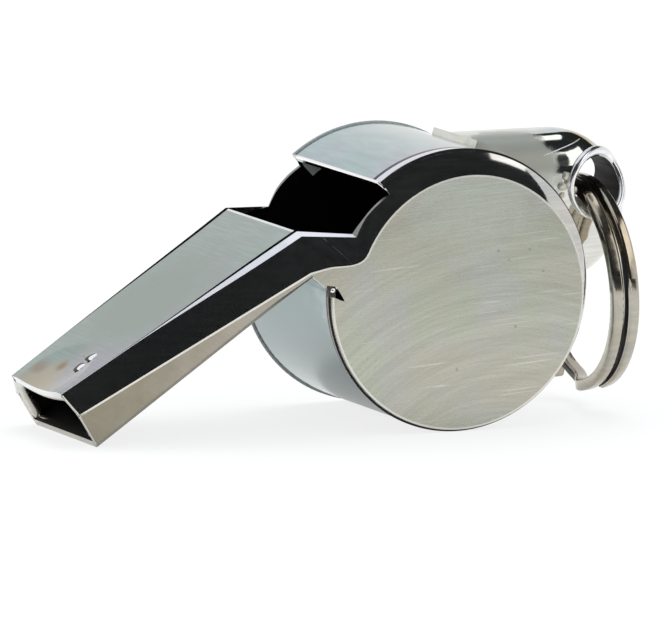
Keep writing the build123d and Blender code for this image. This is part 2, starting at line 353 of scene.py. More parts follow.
# %% Build the groups for clouds and lines
def make_tarnish():
    """Clouds of a second and a third tint over a base colour."""
    tree, given, result = new_group(
        "tarnish_clouds",
        {
            "Base": ("Color", (0.5, 0.5, 0.5, 1)),
            "Cool": ("Color", (0.5, 0.5, 0.5, 1)),
            "Warm": ("Color", (0.5, 0.5, 0.5, 1)),
            "Size": ("Float", 200.0),
        },
        {"Colour": "Color"},
    )
    spot = object_place(tree)
    size = given.outputs["Size"]
    cool = add_node(tree, "ShaderNodeTexNoise", {"Vector": spot, "Scale": size, "Detail": 2.0})
    shifted = add_node(tree, "ShaderNodeMapping", {"Vector": spot, "Location": (0.31, 0.17, 0.23)}).outputs[0]
    larger = maths(tree, "MULTIPLY", size, 0.6)
    warm = add_node(tree, "ShaderNodeTexNoise", {"Vector": shifted, "Scale": larger, "Detail": 2.0})
    cool_share = smooth_step(tree, cool.outputs[0], 0.42, 0.66)
    warm_share = smooth_step(tree, warm.outputs[0], 0.42, 0.66)
    colour = mix_colours(tree, cool_share, given.outputs["Base"], given.outputs["Cool"])
    colour = mix_colours(tree, warm_share, colour, given.outputs["Warm"])
    tree.links.new(colour, result.inputs["Colour"])
    return tree


def make_polishing_lines():
    """Long thin lines along one direction: a height for bump and a mask of single scratches."""
    tree, given, result = new_group(
        "polishing_lines",
        {
            "Turn": ("Vector", (0, 0, 0)),
            "Stretch": ("Vector", (300, 300, 9000)),
            "Scratches": ("Float", 0.7),
        },
        {"Lines": "Float", "Scratch": "Float"},
    )
    turned = add_node(
        tree,
        "ShaderNodeMapping",
        {"Vector": object_place(tree), "Rotation": given.outputs["Turn"]},
        vector_type="POINT",
    ).outputs[0]
    stretched = add_node(
        tree,
        "ShaderNodeVectorMath",
        {0: turned, 1: given.outputs["Stretch"]},
        operation="MULTIPLY",
    ).outputs[0]
    lines = add_node(tree, "ShaderNodeTexNoise", {"Vector": stretched, "Scale": 1.0, "Detail": 5.0})
    tree.links.new(lines.outputs[0], result.inputs["Lines"])
    coarse = add_node(
        tree,
        "ShaderNodeVectorMath",
        {0: stretched, 1: (0.5, 0.5, 0.9)},
        operation="MULTIPLY",
    ).outputs[0]
    marks = add_node(tree, "ShaderNodeTexNoise", {"Vector": coarse, "Scale": 1.0, "Detail": 1.0})
    upper = maths(tree, "ADD", given.outputs["Scratches"], 0.05)
    scratch = smooth_step(tree, marks.outputs[0], given.outputs["Scratches"], upper)
    tree.links.new(scratch, result.inputs["Scratch"])
    return tree


tarnish_clouds = make_tarnish()
polishing_lines = make_polishing_lines()
print("groups:", tarnish_clouds.name, polishing_lines.name)

# %% [markdown]
# A polishing wheel leaves broad arcs on the large flats. They are noise on unrolled coordinates: the
# distance from a point and the angle round it. Plating also has small pits, where dirt sat on the brass.

# %% Build the groups for arcs and pits
def make_polishing_arcs():
    """Broad streaks that a polishing wheel leaves, as arcs round an axis across the whistle."""
    tree, given, result = new_group(
        "polishing_arcs",
        {"Centre": ("Vector", (0, 0, 0)), "Rings": ("Float", 900.0), "Sweep": ("Float", 5.0)},
        {"Arcs": "Float"},
    )
    offset = add_node(
        tree,
        "ShaderNodeVectorMath",
        {0: object_place(tree), 1: given.outputs["Centre"]},
        operation="SUBTRACT",
    ).outputs[0]
    parts = add_node(tree, "ShaderNodeSeparateXYZ", {0: offset}).outputs
    flat_offset = add_node(tree, "ShaderNodeCombineXYZ", {0: parts[0], 2: parts[2]}).outputs[0]
    reach = add_node(tree, "ShaderNodeVectorMath", {0: flat_offset}, operation="LENGTH").outputs["Value"]
    turn = maths(tree, "ARCTAN2", parts[2], parts[0])
    rings = maths(tree, "MULTIPLY", reach, given.outputs["Rings"])
    sweep = maths(tree, "MULTIPLY", turn, given.outputs["Sweep"])
    unrolled = add_node(tree, "ShaderNodeCombineXYZ", {0: rings, 1: sweep}).outputs[0]
    arcs = add_node(tree, "ShaderNodeTexNoise", {"Vector": unrolled, "Scale": 1.0, "Detail": 4.0})
    tree.links.new(arcs.outputs[0], result.inputs["Arcs"])
    return tree


def make_pits():
    """Sparse round pits, as a mask that is 1 inside them."""
    tree, given, result = new_group(
        "plating_pits",
        {"Cells": ("Float", 350.0), "Reach": ("Float", 0.07), "Sparse": ("Float", 0.8)},
        {"Pit": "Float"},
    )
    cells = add_node(
        tree,
        "ShaderNodeTexVoronoi",
        {"Vector": object_place(tree), "Scale": given.outputs["Cells"]},
    )
    chance = add_node(tree, "ShaderNodeSeparateColor", {0: cells.outputs["Color"]}).outputs[0]
    kept = maths(tree, "GREATER_THAN", chance, given.outputs["Sparse"])
    inside = smooth_step(tree, cells.outputs["Distance"], given.outputs["Reach"], 0.0)
    tree.links.new(maths(tree, "MULTIPLY", inside, kept), result.inputs["Pit"])
    return tree


polishing_arcs = make_polishing_arcs()
plating_pits = make_pits()
print("groups:", polishing_arcs.name, plating_pits.name)

# %% [markdown]
# One function makes each metal from those groups: clouds give the colour, polishing lines and arcs vary the
# gloss and the tone and give a little relief, and pits darken single spots. A patch can be added where the
# plate is rubbed or stained, or where light or shade is painted, as a second tint that fades with the
# distance from a point. Margins add lines of painted light and shade across the whistle.

# %% Write the recipe for a metal
scratch_tint = (0.9, 0.9, 0.86, 1)
scratch_limit = 0.66
pit_tone = 0.3
line_depth = 0.02 * millimetre


def place_group(tree, group, values):
    node = add_node(tree, "ShaderNodeGroup", node_tree=group)
    for name, value in values.items():
        node.inputs[name].default_value = value
    return node.outputs


def patch_mask(tree, centre, near, far):
    """A ragged mask that is 1 near a point and 0 beyond a distance from it."""
    spot = object_place(tree)
    reach = add_node(tree, "ShaderNodeVectorMath", {0: spot, 1: centre}, operation="DISTANCE")
    ragged = add_node(tree, "ShaderNodeTexNoise", {"Vector": spot, "Scale": 700.0, "Detail": 3.0}).outputs[0]
    shift = maths(tree, "MULTIPLY", maths(tree, "SUBTRACT", ragged, 0.5), far * 0.5)
    return smooth_step(tree, maths(tree, "ADD", reach.outputs["Value"], shift), far, near)


def metal(
    name, base, cool, warm, gloss, lines,
    cloud_size=160.0, turn=0.0, relief=0.15, pits=0.85, arcs=(), contrast=0.08, wear_and_painted_light=(), painted_light_margins=(),
    scratches=0.0, satin=(), metallic=1.0,
):
    """A plated metal. Gloss is its least and greatest roughness, lines its streaks along and across.

    Patches of wear or of painted light, and satin patches, are a point, the distances where they are full
    and gone, and a tint or a roughness. A margin is a line of painted light across the whistle, dark for
    painted shade and pale for painted reflection: it goes from none to full between two places across, and
    also between two heights above the table.
    """
    material = bpy.data.materials.new(name)
    material.use_nodes = True
    tree = material.node_tree
    shader = tree.nodes["Principled BSDF"]
    shader.inputs["Metallic"].default_value = metallic
    clouds = place_group(tree, tarnish_clouds, {
        "Base": (*base, 1),
        "Cool": (*cool, 1),
        "Warm": (*warm, 1),
        "Size": cloud_size,
    })
    marks = place_group(tree, polishing_lines, {
        "Turn": (0, turn, 0),
        "Stretch": (lines[0], lines[0], lines[1]),
        "Scratches": scratch_limit,
    })
    pit = place_group(tree, plating_pits, {"Sparse": pits})["Pit"]
    low_tone = (1 - contrast,) * 3 + (1,)
    high_tone = (1 + contrast,) * 3 + (1,)
    tone = mix_colours(tree, smooth_step(tree, marks["Lines"], 0.3, 0.75), low_tone, high_tone)
    colour = mix_colours(tree, 1.0, clouds["Colour"], tone, "MULTIPLY")
    for centre, rings, sweep in arcs:
        streak = place_group(tree, polishing_arcs, {"Centre": centre, "Rings": rings, "Sweep": sweep})["Arcs"]
        tone = mix_colours(tree, smooth_step(tree, streak, 0.3, 0.72), low_tone, high_tone)
        colour = mix_colours(tree, 1.0, colour, tone, "MULTIPLY")
    # a patch is real wear or a stain on some metals, and painted light or shade on others
    for centre, near, far, tint in wear_and_painted_light:
        colour = mix_colours(tree, patch_mask(tree, centre, near, far), colour, (*tint, 1))
    # margins are painted light: dark lines of painted shade and pale margins of painted reflection
    for start, end, fade, full, tint in painted_light_margins:
        parts = add_node(tree, "ShaderNodeSeparateXYZ", {0: object_place(tree)}).outputs
        beyond = smooth_step(tree, parts["Y"], start, end)
        level = smooth_step(tree, parts["Z"], fade, full)
        colour = mix_colours(tree, maths(tree, "MULTIPLY", beyond, level), colour, (*tint, 1))
    colour = mix_colours(tree, pit, colour, tuple(pit_tone * part for part in base) + (1,))
    scratch = maths(tree, "MULTIPLY", marks["Scratch"], scratches)
    colour = mix_colours(tree, scratch, colour, scratch_tint)
    tree.links.new(colour, shader.inputs["Base Color"])
    least, greatest = gloss
    limits = {0: marks["Lines"], 1: 0.25, 2: 0.75, 3: least, 4: greatest}
    rough = add_node(tree, "ShaderNodeMapRange", limits).outputs[0]
    for centre, near, far, roughness in satin:
        raised = maths(tree, "MULTIPLY", patch_mask(tree, centre, near, far), roughness)
        rough = maths(tree, "MAXIMUM", rough, raised)
    tree.links.new(rough, shader.inputs["Roughness"])
    height = maths(tree, "SUBTRACT", marks["Lines"], pit)
    bump = add_node(tree, "ShaderNodeBump", {"Height": height, "Strength": relief, "Distance": line_depth})
    tree.links.new(bump.outputs[0], shader.inputs["Normal"])
    return material


print("metal recipe ready")

# %% [markdown]
# The cheeks need the most metals. Their flats are brushed in arcs, with a lighter patch of painted
# reflection at the top and darker spots of painted shade at a few dents. The strip along the mouthpiece
# is stained towards the mouth, and the bevel is a mirror. A brighter metal on the flats' border is a
# painted highlight; the chamfer, the lip and the rim have their own lighter or darker metals. Three colours
# are the base and its cool and warm clouds.

# %% Make the metals of the cheeks and edges
cheek_arcs = [
    (drum_axis + Vector((0.011, 0, -0.034)), 800.0, 1.6),
    (drum_axis + Vector((0.004, 0, -0.022)), 3800.0, 2.0),
]
mouth_front = place(-33.3, 11.8, 1.5)
hood_spot = Vector((0.0148, -0.0035, 0.021))
roof_turn = -atan2(along.z, along.x)
dents = [(3.5, 3.2), (6.4, 3.2), (4.5, 2.4), (7.7, 1.3), (5.2, -3.3), (-0.2, -6.7)]
dent_shade_spots = [drum_axis + Vector((x, -9.25, z)) * millimetre for x, z in dents]
cheek_nickel = metal(
    "cheek_nickel", (0.49, 0.51, 0.41), (0.50, 0.50, 0.46), (0.52, 0.50, 0.41), (0.2, 0.34), (220, 5200),
    turn=radians(4), relief=0.08, arcs=cheek_arcs, contrast=0.055, pits=0.6, scratches=0.3,
    # the first patch lightens the flat's top as a painted reflection; the dent spots are painted shade
    wear_and_painted_light=[
        (place(7.0, 8.5, -9.25), 0.002, 0.010, (0.57, 0.60, 0.52)),
        *[(spot, 0.00002, 0.00018, (0.34, 0.34, 0.29)) for spot in dent_shade_spots],
    ],
)
# painted highlight: a brighter copy of the nickel for the strip along the flats' border
border_highlight_nickel = metal(
    "border_highlight_nickel", (0.80, 0.79, 0.71), (0.76, 0.77, 0.70), (0.82, 0.78, 0.70), (0.22, 0.36), (200, 2500),
)
strip_nickel = metal(
    "strip_nickel", (0.40, 0.40, 0.35), (0.38, 0.40, 0.34), (0.41, 0.37, 0.31), (0.18, 0.3), (220, 4200),
    turn=roof_turn, wear_and_painted_light=[(mouth_front, 0.006, 0.020, (0.29, 0.26, 0.19))],
)
bevel_nickel = metal(
    "bevel_nickel", (0.60, 0.60, 0.59), (0.56, 0.58, 0.57), (0.62, 0.59, 0.56), (0.04, 0.08), (300, 4000),
    relief=0.03, pits=0.97,
)
edge_nickel = metal(
    "edge_nickel", (0.86, 0.86, 0.85), (0.84, 0.85, 0.86), (0.88, 0.86, 0.82), (0.16, 0.26), (300, 2500),
    pits=0.97,
)
frame_nickel = metal(
    "frame_nickel", (0.70, 0.69, 0.63), (0.66, 0.67, 0.62), (0.74, 0.70, 0.62), (0.22, 0.36), (300, 2500),
)
chamfer_nickel = metal(
    "chamfer_nickel", (0.98, 0.96, 0.95), (0.96, 0.96, 0.96), (0.98, 0.95, 0.95), (0.12, 0.2), (300, 2500),
    contrast=0.02, relief=0.03, pits=0.99,
)
lip_nickel = metal(
    "lip_nickel", (0.24, 0.25, 0.25), (0.20, 0.22, 0.22), (0.28, 0.27, 0.25), (0.2, 0.34), (300, 2500),
)
rim_nickel = metal(
    "rim_nickel", (0.62, 0.64, 0.63), (0.58, 0.62, 0.62), (0.64, 0.62, 0.60), (0.55, 0.75), (300, 2500),
    metallic=0.2,
)
print("metals so far:", [m.name for m in bpy.data.materials if m.name.endswith("nickel")])

# %% [markdown]
# The roof is browner near the mouth. Beside the near cheek the band has painted light along its edge: a dark
# line of painted shade and a pale margin of painted reflection on its upper part, and only a dark line of
# painted shade below. It is painted darker low down, under the mouthpiece, as shade. The lug is a mirror
# with a satin hood, the solder is rough, and the inside of all sheets is painted nearly black as shade.

# %% Make the metals of the other pieces
roof_nickel = metal(
    "roof_nickel", (0.36, 0.41, 0.37), (0.34, 0.41, 0.37), (0.39, 0.38, 0.41), (0.10, 0.2), (260, 4500),
    turn=roof_turn, wear_and_painted_light=[
        (place(-21.0, 12.2, 0.0), 0.003, 0.011, (0.31, 0.35, 0.31)),
        (mouth_front, 0.0016, 0.0042, (0.47, 0.42, 0.31)),
        (Vector((-0.02412, 0.00096, 0.00578)), 0.0001, 0.0009, (0.33, 0.23, 0.14)),
        (place(-31.3, 12.0, 3.4), 0.0002, 0.0013, (0.36, 0.31, 0.24)),
    ],
)
band_nickel = metal(
    "band_nickel", (0.43, 0.52, 0.52), (0.41, 0.51, 0.50), (0.48, 0.51, 0.54), (0.08, 0.18), (260, 3800),
    # painted shade: the band's lower side is darker
    wear_and_painted_light=[(drum_axis + Vector((-0.0098, 0, -0.0069)), 0.007, 0.014, (0.28, 0.33, 0.32))],
    # painted shade in the dark lines and painted reflection in the pale lavender margin
    painted_light_margins=[
        (-0.00680, -0.00688, 0.0140, 0.0165, (0.02, 0.02, 0.02)),
        (-0.00734, -0.00742, 0.0140, 0.0165, (0.78, 0.76, 0.82)),
        (-0.00795, -0.00815, 0.0165, 0.0140, (0.06, 0.05, 0.04)),
    ],
)
lug_nickel = metal(
    "lug_nickel", (0.66, 0.68, 0.65), (0.62, 0.66, 0.61), (0.70, 0.67, 0.60), (0.05, 0.11), (300, 3000),
    relief=0.05, pits=0.97,
    satin=[(hood_spot, 0.0038, 0.0054, 0.5)],
    wear_and_painted_light=[
        (hood_spot, 0.0036, 0.0056, (0.68, 0.69, 0.61)),
        (Vector((0.0225, -0.0012, 0.0232)), 0.0004, 0.0018, (0.46, 0.38, 0.24)),
    ],
)
solder_metal = metal(
    "solder_metal", (0.80, 0.79, 0.70), (0.74, 0.75, 0.70), (0.82, 0.77, 0.64), (0.45, 0.6), (600, 1500),
)
wire_nickel = metal(
    "wire_nickel", (0.46, 0.42, 0.34), (0.45, 0.43, 0.37), (0.50, 0.42, 0.32), (0.10, 0.2), (600, 2500),
    relief=0.04, pits=0.97,
)
# painted shade for the roof's seam sides, the ring's gap and the rings round the tooth marks
painted_shade_metal = metal(
    "painted_shade_metal", (0.07, 0.07, 0.065), (0.05, 0.052, 0.05), (0.09, 0.08, 0.06), (0.4, 0.6), (300, 2500),
)
# painted shade: the insides, the lug's hole and some seam lines are painted near black
near_black_shade_metal = metal(
    "near_black_shade_metal", (0.03, 0.029, 0.028), (0.02, 0.021, 0.02), (0.045, 0.036, 0.028),
    (0.45, 0.65), (200, 2000),
)
print("metals:", [m.name for m in bpy.data.materials if m.name.endswith(("nickel", "metal"))])

# %% [markdown]
# Some pieces start as a copy of their CAD node, because that shape is right as it is. The copy is welded,
# its flat sides become single faces, and its faces are sorted into finishes by where they look.

# %% Helpers for copied pieces
def link_piece(name, mesh):
    piece = bpy.data.objects.new(name, mesh)
    scene.collection.objects.link(piece)
    return piece


def welded_copy(node, name, weld=0.002, join_flats=True):
    """A node's mesh as a new piece, with one face for each flat side where its flats are joined."""
    source = frame["nodes"][node].data
    shape = bmesh.new()
    corners = [shape.verts.new(vertex.co) for vertex in source.vertices]
    for face in source.polygons:
        shape.faces.new([corners[index] for index in face.vertices])
    bmesh.ops.remove_doubles(shape, verts=shape.verts, dist=weld * millimetre)
    bmesh.ops.dissolve_degenerate(shape, edges=shape.edges, dist=1.5 * weld * millimetre)
    if join_flats:
        bmesh.ops.dissolve_limit(shape, angle_limit=radians(0.6), verts=shape.verts, edges=shape.edges)
    bmesh.ops.recalc_face_normals(shape, faces=shape.faces)
    mesh = bpy.data.meshes.new(name)
    shape.to_mesh(mesh)
    shape.free()
    return link_piece(name, mesh)


def even_normals(piece, crease=30):
    """Smooth shading with sharp creases, in which large faces stay flat."""
    piece.data.shade_smooth()
    piece.data.set_sharp_from_angle(angle=radians(crease))
    normals = piece.modifiers.new("flat_normals", "WEIGHTED_NORMAL")
    normals.keep_sharp = True
    normals.weight = 80


def sort_finishes(piece, materials, choose):
    """Gives each face the material whose number choose returns for its middle and its normal."""
    for material in materials:
        piece.data.materials.append(material)
    for face in piece.data.polygons:
        face.material_index = choose(face.center, face.normal)


def hand_over(piece, node):
    """The piece stands for a CAD node and moves with its body."""
    body = next(name for name, members in frame["record"]["behaviour"]["bodies"].items() if node in members)
    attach(piece, body)
    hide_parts(node)
    print(piece.name, "faces:", len(piece.data.polygons))


def add_detail(piece):
    """A detail that belongs to the body and stands for no node."""
    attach(piece, "body")
    print(piece.name, "faces:", len(piece.data.polygons))


def ease(value, low, high):
    share = min(1.0, max(0.0, (value - low) / (high - low)))
    return share * share * (3 - 2 * share)


def between(way, stops):
    """A value on a line of straight pieces through the given stops."""
    for (start, first), (end, last) in zip(stops, stops[1:]):
        if way <= end:
            return first + (last - first) * (way - start) / (end - start)
    return stops[-1][1]


print("helpers for copies ready")

# %% [markdown]
# Other pieces are new meshes of sheet metal. A sheet has the same faces outside and inside, and narrow sides
# that join them along its open edges. One function builds all of that from points, so no gap is left.

# %% Helper for sheet metal
def sheet_piece(name, outer, inner, faces, finishes, side_finish, materials, round_width=0.0):
    """A piece of sheet metal from its outer points, their partners inside, and its outer faces.

    Each outer face has a finish for outside and one for inside. The sides between the open edges take the
    finish that side_finish names for their two outer points, and whether those edges are rounded.
    """
    count = len(outer)
    shape = bmesh.new()
    corners = [shape.verts.new(point) for point in [*outer, *inner]]
    uses = {}
    for face, (outside, within) in zip(faces, finishes):
        shape.faces.new([corners[index] for index in face]).material_index = outside
        shape.faces.new([corners[index + count] for index in reversed(face)]).material_index = within
        for first, second in zip(face, face[1:] + face[:1]):
            uses.setdefault(frozenset((first, second)), []).append((first, second))
    rounded = []
    for pairs in uses.values():
        if len(pairs) == 1:
            first, second = pairs[0]
            around = (second, first, first + count, second + count)
            quad = shape.faces.new([corners[index] for index in around])
            quad.material_index, is_rounded = side_finish(first, second)
            if is_rounded:
                rounded.append((corners[first], corners[second]))
                rounded.append((corners[first + count], corners[second + count]))
    bmesh.ops.recalc_face_normals(shape, faces=shape.faces)
    for face in shape.faces:
        face.smooth = True
    for edge in shape.edges:
        tags = {face.material_index for face in edge.link_faces}
        edge.smooth = len(tags) == 1 and edge.calc_face_angle(0) < radians(30)
    weights = shape.edges.layers.float.new("bevel_weight_edge")
    for first, second in rounded:
        edge = shape.edges.get((first, second))
        if edge.calc_face_angle(0) > radians(40) and edge.calc_length() > 2 * round_width:
            edge[weights] = 1.0
    mesh = bpy.data.meshes.new(name)
    shape.to_mesh(mesh)
    shape.free()
    piece = link_piece(name, mesh)
    for material in materials:
        mesh.materials.append(material)
    if round_width:
        rounding = piece.modifiers.new("rounded_edges", "BEVEL")
        rounding.width = round_width
        rounding.segments = 2
        rounding.limit_method = "WEIGHT"
        rounding.use_clamp_overlap = False
        rounding.harden_normals = True
    return piece


print("sheet metal helper ready")

# %% [markdown]
# The cheeks are the two stamped sides, and their upper edge gives the whistle its face: a mirror-like bevel
# that follows the mouthpiece, swings down over the neck and runs round the drum. The CAD model has that
# bevel in a few straight steps. Here the same measures give a finer ribbon of sections, each with a strip of
# painted highlight on the flat's border, the bevel itself and a bright chamfer at its top.

# %% Measure the cheek
sheet = 0.6
drum_radius = 12.0
half_width = 9.25
inner_half = half_width - sheet
roof_height = 12.2
mouth_reach = 33.3
throat_reach = 10.5
window_front = 9.1
notch_reach = 5.3
foot_ease = 0.4
highlight_width = 0.17
bevel_angle = 110
bevel_width = 2.75
front_rim = 0.2
bevel_depth = 0.45
bevel_lean = 0.65
bevel_shares = (0, 0.25, 0.5, 0.75, 0.9, 1)
border_radius = drum_radius - (bevel_width + front_rim) / 2
border_shift = (front_rim - bevel_width) / 2
border_centre = (border_shift * cos(radians(bevel_angle)), border_shift * sin(radians(bevel_angle)))
notch_border = border_centre[1] + sqrt(border_radius**2 - (notch_reach + border_centre[0]) ** 2)
notch_height = notch_border + 1.9
notch_lift = 0.25
notch_chamfer = 0.45
notch_sink = 0.9
lip_chamfer = 0.16
lip_swell = 0.34
rim_chamfer = 0.05
chamfer_lean = 0.6
flange_turn = 1.0
least_sheet = 0.1
narrow_rim = 0.5 * millimetre
edge_round = 0.12 * millimetre
front_slack = 0.05
lip_corner = (-0.8, drum_radius - 1.4)
notch_angle = 123.02
lip_angle = 95.5
front_angle = bevel_angle - 180
gusset_angle = -212.4
flat_stops = [(-mouth_reach, 6.6), (-throat_reach, half_width), (-window_front, half_width)]
border_stops = [(-mouth_reach, 10.3), (-throat_reach, 9.27), (-window_front, 8.75)]
seam_stops = [(-mouth_reach, 5.15), (-window_front, 7.45)]
bottom_stops = [(-mouth_reach, 6.901), (-throat_reach, 8.8)]
open_corner = [(-9.18, 5.28), (-9.18, 6.88), (-9.83, 7.48), (-9.99, 7.33), (-throat_reach, 8.8)]


def edge_width(way):
    """The chamfer at the bevel's top grows from almost nothing to its full width at the window."""
    return 0.03 + 0.45 * ease(way, -27.0, -10.0)


def roof_gap(way):
    """The open seam between the chamfer and the roof."""
    return 0.05 + 0.5 * ease(way, -30.0, -10.0)


def on_circle(radius, angle):
    return (radius * cos(radians(angle)), radius * sin(radians(angle)))


def depth_at(way, height):
    """How deep the drum's bevel lies under the flat at a point of the side."""
    low, high = 0.0, 1.0
    for _ in range(24):
        share = (low + high) / 2
        shift = 1 - share
        circle = border_radius + share * (drum_radius - border_radius)
        if hypot(way - border_centre[0] * shift, height - border_centre[1] * shift) > circle:
            low = share
        else:
            high = share
    return bevel_depth * (bevel_lean * share + (1 - bevel_lean) * (1 - sqrt(1 - min(1.0, share) ** 2)))


print("border radius:", round(border_radius, 3))
print("notch from", round(notch_border, 2), "to", round(notch_height, 2))

# %% [markdown]
# A section of the ribbon is a list of points from the flat up to the top, each with its partner on the
# inside of the sheet. There are three kinds: on the mouthpiece, on the neck as a blend, and on the drum.

# %% Make the sections
def flange_section(way):
    """The mouthpiece's section at a place before the drum's axis."""
    flat = between(way, flat_stops)
    border = between(way, border_stops)
    seam = between(way, seam_stops)
    low, top = Vector((flat, border)), Vector((seam, roof_height))
    down = (low - top).normalized()
    inward = Vector((down.y, -down.x)) * sheet
    crest = top + down * edge_width(way)
    outer = [(way, border - highlight_width, flat)]
    inner = [(way, border - highlight_width, flat - sheet)]
    for share in bevel_shares:
        point = low.lerp(crest, share)
        outer.append((way, point.y, point.x))
        inner.append((way, point.y + inward.y, point.x + inward.x))
    inside = seam - chamfer_lean * edge_width(way)
    outer.append((way, roof_height, inside))
    inner.append((way, roof_height - flange_turn, inside))
    return outer, inner


def drum_section(border, end, chamfer, lift=0.0, sink=0.0):
    """The drum's section from a point of the flat's border to one of the outer edge.

    The chamfer at the end goes inwards and may also lift, and the bevel may sink deeper by a share.
    """
    middle = Vector(border_centre)
    border, end = Vector(border), Vector(end)
    crest = end - Vector((0, lift))
    highlight_edge = border + (middle - border).normalized() * highlight_width
    outer = [(*highlight_edge, half_width)]
    for share in bevel_shares:
        point = border.lerp(crest, share)
        outer.append((*point, half_width - (depth_at(*point) * (1 + sink) if share else 0.0)))
    outer.append((*end, outer[-1][2] - chamfer))
    inner = [(way, height, min(inner_half, aside - least_sheet)) for way, height, aside in outer]
    return outer, inner


def neck_dip(share):
    """How far the neck's border lies under a straight line, so that it leaves and arrives without a kink."""
    run = window_front - notch_reach
    leaving = run * (border_stops[-1][1] - border_stops[-2][1]) / (throat_reach - window_front)
    arriving = run * (notch_reach + border_centre[0]) / (notch_border - border_centre[1])
    fall = notch_border - border_stops[-1][1]
    curve = fall * share**2 * (3 - 2 * share)
    curve += leaving * (share**3 - 2 * share**2 + share) + arriving * (share**3 - share**2)
    return fall * share - curve


def blend_section(first, last, share):
    """The neck's section between two others, with a border that swings down and up again."""
    dip = neck_dip(share)
    sides = []
    for start, end in zip(first, last):
        points = []
        for number, (low, high) in enumerate(zip(start, end)):
            way, height, aside = Vector(low).lerp(Vector(high), share)
            sunk = 1 - bevel_shares[min(max(number - 1, 0), len(bevel_shares) - 1)]
            points.append((way, height - dip * sunk, aside))
        sides.append(points)
    return tuple(sides)


print("a section has", len(bevel_shares) + 2, "points")

# %% [markdown]
# The sections are set along the whole edge: evenly on the mouthpiece, as blends over the neck, along the
# lip beside the window, and evenly round the drum to the open corner under the neck. The lip's first
# sections have a wide chamfer and a deeper bevel, which fade out, so that the bevel doesn't tip down there.

# %% Set the sections along the edge
wall_steps = 20
neck_steps = 12
rim_steps = 140
chamfer_fade = 3
sink_fade = 6
corner_angle = 101.0


def border_at(angle):
    """The flat's border, by the angle round the drum."""
    if angle < front_angle:
        return on_circle(drum_radius - front_rim, angle)
    point = on_circle(border_radius, angle)
    return (border_centre[0] + point[0], border_centre[1] + point[1])


def ribbon_sections():
    """All sections from the mouth over the neck and round the drum, and where the drum's begin."""
    run = mouth_reach - throat_reach
    places = [-mouth_reach + run * number / wall_steps for number in range(wall_steps + 1)]
    sections = [flange_section(way) for way in [*places, -window_front]]
    lip_path = [(-notch_reach - 0.1, notch_height), lip_corner, on_circle(drum_radius, lip_angle)]
    lip = []
    for (start, end), (high, low), swell, steps in [
        (lip_path[:2], (notch_angle, corner_angle), lip_swell, 9),
        (lip_path[1:], (corner_angle, lip_angle), 0.0, 4),
    ]:
        for number in range(steps):
            share = number / steps
            point = Vector(start).lerp(Vector(end), share) + Vector((0, 4 * swell * share * (1 - share)))
            fading = max(0.0, 1 - len(lip) / chamfer_fade)
            chamfer = lip_chamfer + (notch_chamfer - lip_chamfer) * fading
            border = border_at(high + (low - high) * share)
            sink = notch_sink * max(0.0, 1 - len(lip) / sink_fade)
            lip.append(drum_section(border, point, chamfer, notch_lift * fading, sink))
    window_section = sections[-1]
    for number in range(1, neck_steps):
        sections.append(blend_section(window_section, lip[0], number / neck_steps))
    lip_start = len(sections)
    sections += lip
    rim_start = len(sections)
    for number in range(rim_steps + 1):
        angle = lip_angle + (gusset_angle - lip_angle) * number / rim_steps
        sections.append(drum_section(border_at(angle), on_circle(drum_radius, angle), rim_chamfer))
    return sections, len(places), lip_start, rim_start


sections, wall_count, lip_start, rim_start = ribbon_sections()
print("sections:", len(sections), "on the mouthpiece:", wall_count)
print("lip from:", lip_start, "rim from:", rim_start)

# %% [markdown]
# Both cheeks come from the same sections. Below the ribbon lie the mouthpiece's flat strip with its eased
# foot and the large flat of neck and drum. Where the rim is narrow, and beside the lug's tongue, a strip of
# it takes the near-black metal as painted shade: the seam between the cheek and the band shows there as a
# dark line.

# %% Make the cheeks
tongue_first, tongue_last = 20, 50


